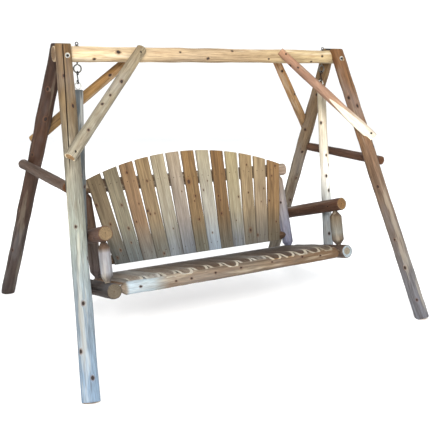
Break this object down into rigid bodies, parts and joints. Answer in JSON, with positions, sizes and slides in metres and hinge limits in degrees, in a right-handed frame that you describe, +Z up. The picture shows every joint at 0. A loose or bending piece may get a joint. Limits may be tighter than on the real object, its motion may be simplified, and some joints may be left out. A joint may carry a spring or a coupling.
{
  "type": "porch swing",
  "caption": "Log porch swing: a slatted bench with an arched fan back, hung from hooks under the top beam of a free-standing A-frame of peeled logs.",
  "frame": {"origin": "on the floor, at the centre of the four feet", "axes": "+X along the bench to its right end seen from the front, -Y to the front, +Z up"},
  "size_m": [2.5482, 1.9316, 1.8483],
  "materials": {
    "frame_log": "peeled cedar, weathered",
    "beam_log": "peeled cedar, pale",
    "dark_log": "peeled cedar, dark",
    "pale_log": "peeled cedar, silvered",
    "swing_log": "peeled cedar, weathered",
    "back_board": "sawn cedar board",
    "seat_slab": "half-log cedar, dark heart",
    "zinc_steel": "zinc plated",
    "black_steel": "blackened steel"
  },
  "bodies": {
    "frame": {"leg_front_left": "frame_log", "leg_front_right": "frame_log", "leg_rear_left": "frame_log", "leg_rear_right": "frame_log", "top_beam": "beam_log", "brace_front_left": "frame_log", "brace_front_right": "frame_log", "brace_rear_left": "frame_log", "brace_rear_right": "frame_log", "cross_rail_left": "dark_log", "cross_rail_right": "dark_log", "leg_bolt_left": "zinc_steel", "leg_bolt_right": "zinc_steel", "eye_bolt_left": "zinc_steel", "eye_bolt_right": "zinc_steel"},
    "left_hook": {"s_hook_left": "black_steel"},
    "right_hook": {"s_hook_right": "black_steel"},
    "bench": {"screw_eye_left": "zinc_steel", "hanger_pole_left": "pale_log", "side_rail_left": "swing_log", "arm_post_left": "swing_log", "armrest_left": "dark_log", "upright_left": "swing_log", "screw_eye_right": "zinc_steel", "hanger_pole_right": "pale_log", "side_rail_right": "swing_log", "arm_post_right": "swing_log", "armrest_right": "dark_log", "upright_right": "swing_log", "front_rail": "swing_log", "rear_rail": "swing_log", "upper_back_rail": "swing_log", "lower_back_rail": "swing_log", "back_slat_01": "back_board", "back_slat_02": "back_board", "back_slat_03": "back_board", "back_slat_04": "back_board", "back_slat_05": "back_board", "back_slat_06": "back_board", "back_slat_07": "back_board", "back_slat_08": "back_board", "back_slat_09": "back_board", "back_slat_10": "back_board", "back_slat_11": "back_board", "back_slat_12": "back_board", "back_slat_13": "back_board", "seat_slat_01": "seat_slab", "seat_slat_02": "seat_slab", "seat_slat_03": "seat_slab", "seat_slat_04": "seat_slab", "seat_slat_05": "seat_slab", "seat_slat_06": "seat_slab", "seat_slat_07": "seat_slab", "seat_slat_08": "seat_slab", "seat_slat_09": "seat_slab", "seat_slat_10": "seat_slab", "seat_slat_11": "seat_slab", "seat_slat_12": "seat_slab", "seat_slat_13": "seat_slab", "seat_slat_14": "seat_slab"}
  },
  "joints": [
    {"name": "left_hook_swing", "type": "hinge", "parent": "frame", "child": "left_hook", "pos_m": [-0.934, 0, 1.667], "axis": [1, 0, 0], "range_deg": [-18, 18]},
    {"name": "bench_swing", "type": "hinge", "parent": "left_hook", "child": "bench", "pos_m": [-0.934, 0, 1.6075], "axis": [1, 0, 0], "range_deg": [-7, 7]},
    {"name": "right_hook_swing", "type": "hinge", "parent": "frame", "child": "right_hook", "pos_m": [0.934, 0, 1.667], "axis": [1, 0, 0], "range_deg": [-18, 18]}
  ],
  "couplings": [
    {"joint": "right_hook_swing", "follows": "left_hook_swing", "ratio": 1}
  ]
}
